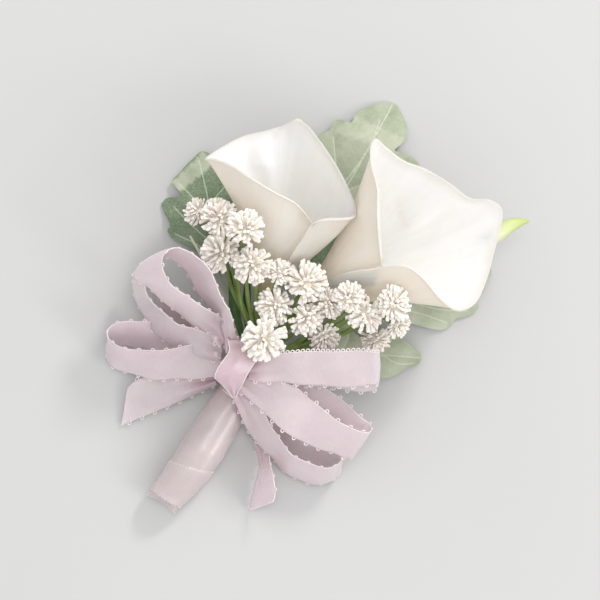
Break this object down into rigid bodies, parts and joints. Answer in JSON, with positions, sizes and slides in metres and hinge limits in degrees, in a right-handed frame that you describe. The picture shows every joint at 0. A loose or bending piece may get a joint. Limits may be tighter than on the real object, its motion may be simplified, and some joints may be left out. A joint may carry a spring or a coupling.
{
  "type": "corsage",
  "caption": "Flat-lying calla lily corsage with lobed sage leaves, small white filler flowers, a ribbon-wrapped stem handle and a looped picot ribbon bow.",
  "frame": {"origin": "on the surface the corsage lies on, below the middle of the wrapped handle where the bow is tied", "axes": "+Y along the handle towards the flowers, +Z off the surface, +X to the right seen from above with the flowers up"},
  "size_m": [0.0999, 0.1418, 0.0421],
  "materials": {
    "lily_white": "soft satin, slightly translucent real-touch petal",
    "lily_tip_green": "soft satin, lime green at the point",
    "lily_stem_green": "soft satin",
    "spadix_yellow": "fine-grained, matte",
    "leaf_sage": "matte, lightly flocked",
    "filler_white": "matte",
    "filler_green": "matte",
    "ribbon_lavender": "satin with fine cross ribs and looped edges",
    "wrap_pearl": "satin, wound round the stems"
  },
  "bodies": {
    "root": {"blade_dark_left": "filler_green", "blade_dark_middle": "filler_green", "blade_pale": "leaf_sage", "bow_knot": "ribbon_lavender", "bow_loop_left_lower": "ribbon_lavender", "bow_loop_left_middle": "ribbon_lavender", "bow_loop_left_upper": "ribbon_lavender", "bow_loop_right_lower": "ribbon_lavender", "bow_loop_right_middle": "ribbon_lavender", "bow_loop_right_upper": "ribbon_lavender", "bow_tail_left": "ribbon_lavender", "bow_tail_right": "ribbon_lavender", "filler_centre_head_1": "filler_white", "filler_centre_head_2": "filler_white", "filler_centre_head_3": "filler_white", "filler_centre_stems": "filler_green", "filler_left_head_1": "filler_white", "filler_left_head_2": "filler_white", "filler_left_head_3": "filler_white", "filler_left_head_4": "filler_white", "filler_left_stems": "filler_green", "filler_middle_head_1": "filler_white", "filler_middle_head_2": "filler_white", "filler_middle_head_3": "filler_white", "filler_middle_head_4": "filler_white", "filler_middle_stems": "filler_green", "filler_right_head_1": "filler_white", "filler_right_head_2": "filler_white", "filler_right_head_3": "filler_white", "filler_right_head_4": "filler_white", "filler_right_head_5": "filler_white", "filler_right_head_6": "filler_white", "filler_right_stems": "filler_green", "handle_end_fold": "wrap_pearl", "handle_wrap": "wrap_pearl", "leaf_left": "leaf_sage", "leaf_low": "leaf_sage", "leaf_right": "leaf_sage", "leaf_top": "leaf_sage", "lily_left_spadix": "spadix_yellow", "lily_left_spathe": "lily_white", "lily_left_stem": "lily_stem_green", "lily_left_tip": "lily_tip_green", "lily_right_spadix": "spadix_yellow", "lily_right_spathe": "lily_white", "lily_right_stem": "lily_stem_green", "lily_right_tip": "lily_tip_green"}
  },
  "joints": []
}
